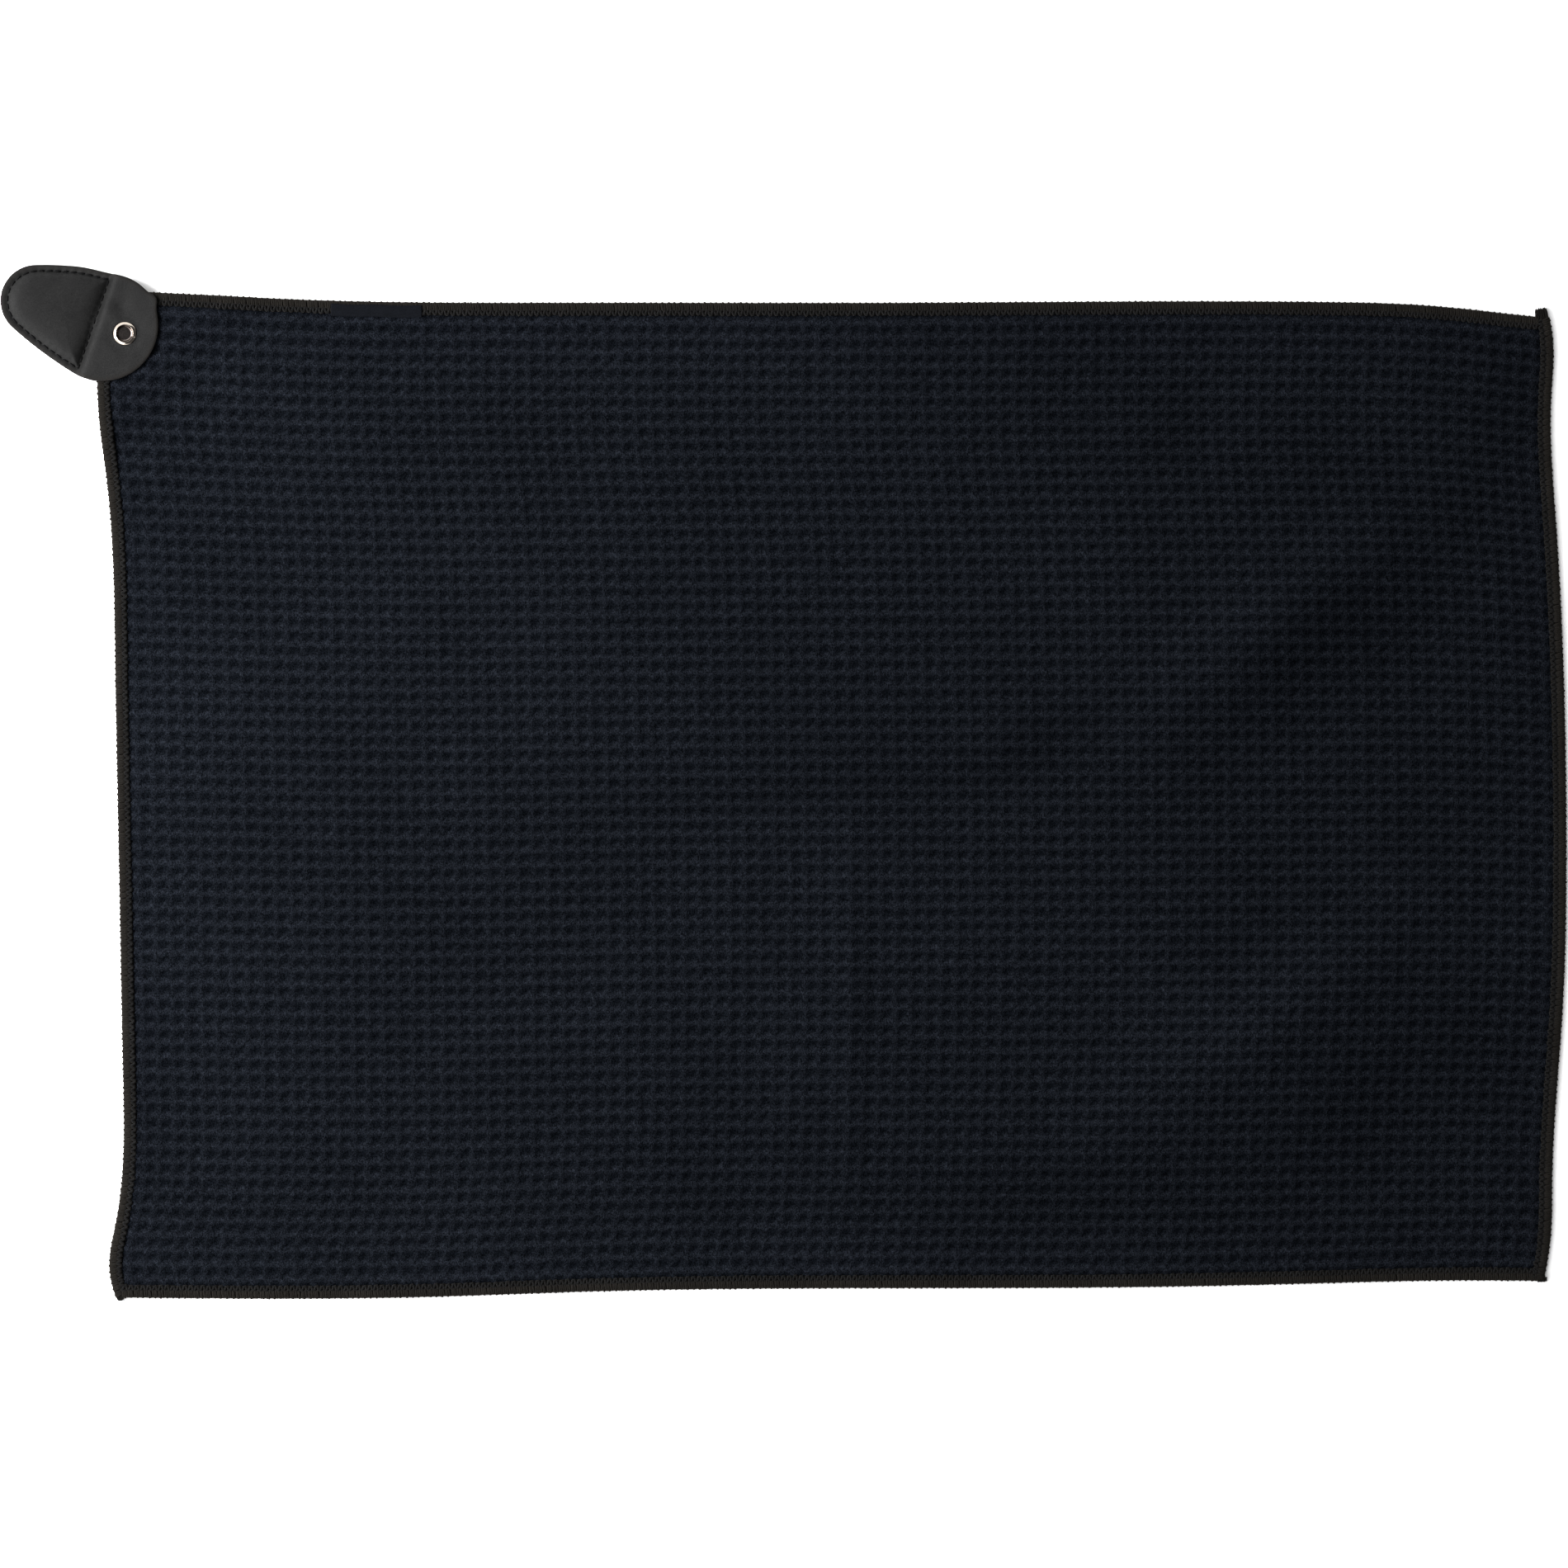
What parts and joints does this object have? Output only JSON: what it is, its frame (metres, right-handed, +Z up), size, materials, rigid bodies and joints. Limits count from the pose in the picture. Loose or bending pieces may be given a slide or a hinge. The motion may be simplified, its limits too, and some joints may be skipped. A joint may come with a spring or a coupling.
{
  "type": "golf towel",
  "caption": "Flat waffle-weave golf towel with an overlocked edge and a swivelling leather tab that holds a magnet, snapped through one corner.",
  "frame": {"origin": "under the centre of the bounding box, on the surface the towel lies on", "axes": "+X along the towel's length, away from the corner with the tab; +Y across its width, towards the edge with the tab; +Z up, out of the face with the snap ring"},
  "size_m": [0.6538, 0.4332, 0.0071],
  "materials": {
    "cloth": "matt",
    "hem_thread": "matt",
    "label": "satin",
    "leather": "satin",
    "seam_thread": "satin",
    "snap_metal": "polished",
    "spring_wire": "polished",
    "magnet": "plated",
    "foam": "matt"
  },
  "bodies": {
    "towel": {"towel_cloth": "cloth", "hem_top": "hem_thread", "hem_right": "hem_thread", "hem_bottom": "hem_thread", "hem_left": "hem_thread", "thread_tails": "hem_thread", "hem_label": "label"},
    "tab": {"back_leather": "leather", "front_pocket_leather": "leather", "foam_pad": "foam", "magnet": "magnet", "seam_thread_front": "seam_thread", "seam_thread_back": "seam_thread", "snap_socket": "snap_metal", "socket_spring": "spring_wire", "snap_cap": "snap_metal"},
    "front_flap": {"front_flap_leather": "leather", "snap_post": "snap_metal", "snap_stud": "snap_metal"}
  },
  "joints": [
    {"name": "tab_swivel", "type": "hinge", "parent": "towel", "child": "tab", "pos_m": [-0.27476, 0.18776, 0], "axis": [0, 0, 1], "range_deg": [-30, 15]},
    {"name": "flap_open", "type": "hinge", "parent": "tab", "child": "front_flap", "pos_m": [-0.28694, 0.19231, 0.0033], "axis": [-0.3502, -0.9367, 0], "range_deg": [0, 85]}
  ]
}
